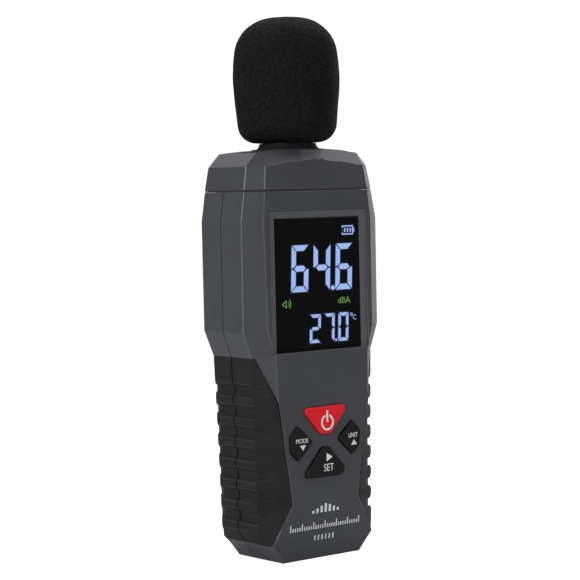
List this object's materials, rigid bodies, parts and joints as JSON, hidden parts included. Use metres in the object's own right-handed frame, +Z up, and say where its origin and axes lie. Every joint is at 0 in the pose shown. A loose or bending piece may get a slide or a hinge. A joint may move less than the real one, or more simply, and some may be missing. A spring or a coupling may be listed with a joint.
{
  "type": "sound level meter",
  "caption": "Handheld digital sound level meter: faceted case with ribbed rubber grips, lit display, sprung keys and a pull-off foam windscreen on the microphone.",
  "frame": {"origin": "centre of the bottom face, on the parting plane of the two shells", "axes": "+X to the right seen from the front, +Y to the back, +Z up along the microphone axis"},
  "size_m": [0.059, 0.0366, 0.183],
  "materials": {
    "case_plastic": "matte",
    "grip_rubber": "matte",
    "window_panel": "gloss",
    "adhesive_tape": "matte",
    "lcd_glass": "gloss",
    "light_guide": "gloss",
    "zebra_rubber": "matte",
    "frame_plastic": "matte",
    "red_key": "satin",
    "black_key": "satin",
    "mat_silicone": "matte",
    "gold_contact": "polished",
    "screw_steel": "satin",
    "cell_sleeve": "satin",
    "spring_steel": "satin",
    "brass_thread": "satin",
    "collar_plastic": "matte",
    "mic_metal": "satin",
    "windscreen_foam": "matte",
    "board_laminate": "satin",
    "chip_epoxy": "matte",
    "cable_jacket": "satin",
    "wire_jacket": "satin"
  },
  "bodies": {
    "meter": {"front_shell": "case_plastic", "rear_shell": "case_plastic", "top_cap": "case_plastic", "front_grip_left": "grip_rubber", "front_grip_right": "grip_rubber", "rear_grip_left": "grip_rubber", "rear_grip_right": "grip_rubber", "display_window": "window_panel", "window_tape": "adhesive_tape", "lcd_panel": "lcd_glass", "backlight_guide": "light_guide", "zebra_strip": "zebra_rubber", "lcd_frame": "frame_plastic", "keypad_mat": "mat_silicone", "contact_pads": "gold_contact", "case_screws": "screw_steel", "pcb_screws": "screw_steel", "cap_screws": "screw_steel", "batteries": "cell_sleeve", "battery_springs": "spring_steel", "battery_contacts": "spring_steel", "tripod_insert": "brass_thread", "mic_collar": "collar_plastic", "mic_tube": "mic_metal", "mic_capsule": "mic_metal", "mic_seal": "zebra_rubber", "mic_grille": "mic_metal", "main_pcb": "board_laminate", "processor_chip": "chip_epoxy", "amplifier_chip": "chip_epoxy", "crystal": "mic_metal", "capacitors": "mic_metal", "temperature_sensor": "chip_epoxy", "mic_socket": "frame_plastic", "mic_cable": "cable_jacket", "battery_wires": "wire_jacket"},
    "power_key": {"power_button": "red_key"},
    "set_key": {"set_button": "black_key"},
    "mode_key": {"mode_button": "black_key"},
    "unit_key": {"unit_button": "black_key"},
    "door": {"battery_door": "case_plastic"},
    "foam_ball": {"windscreen": "windscreen_foam"}
  },
  "joints": [
    {"name": "power_key_press", "type": "slide", "parent": "meter", "child": "power_key", "axis": [0, 1, 0], "range_m": [0, 0.0007], "stiffness_N_per_m": 1500},
    {"name": "set_key_press", "type": "slide", "parent": "meter", "child": "set_key", "axis": [0, 1, 0], "range_m": [0, 0.0007], "stiffness_N_per_m": 1500},
    {"name": "mode_key_press", "type": "slide", "parent": "meter", "child": "mode_key", "axis": [0, 1, 0], "range_m": [0, 0.0007], "stiffness_N_per_m": 1500},
    {"name": "unit_key_press", "type": "slide", "parent": "meter", "child": "unit_key", "axis": [0, 1, 0], "range_m": [0, 0.0007], "stiffness_N_per_m": 1500},
    {"name": "door_lift_off", "type": "slide", "parent": "meter", "child": "door", "axis": [0, 1, 0], "range_m": [0, 0.02]},
    {"name": "windscreen_pull_off", "type": "slide", "parent": "meter", "child": "foam_ball", "axis": [0, 0, 1], "range_m": [0, 0.035]}
  ]
}
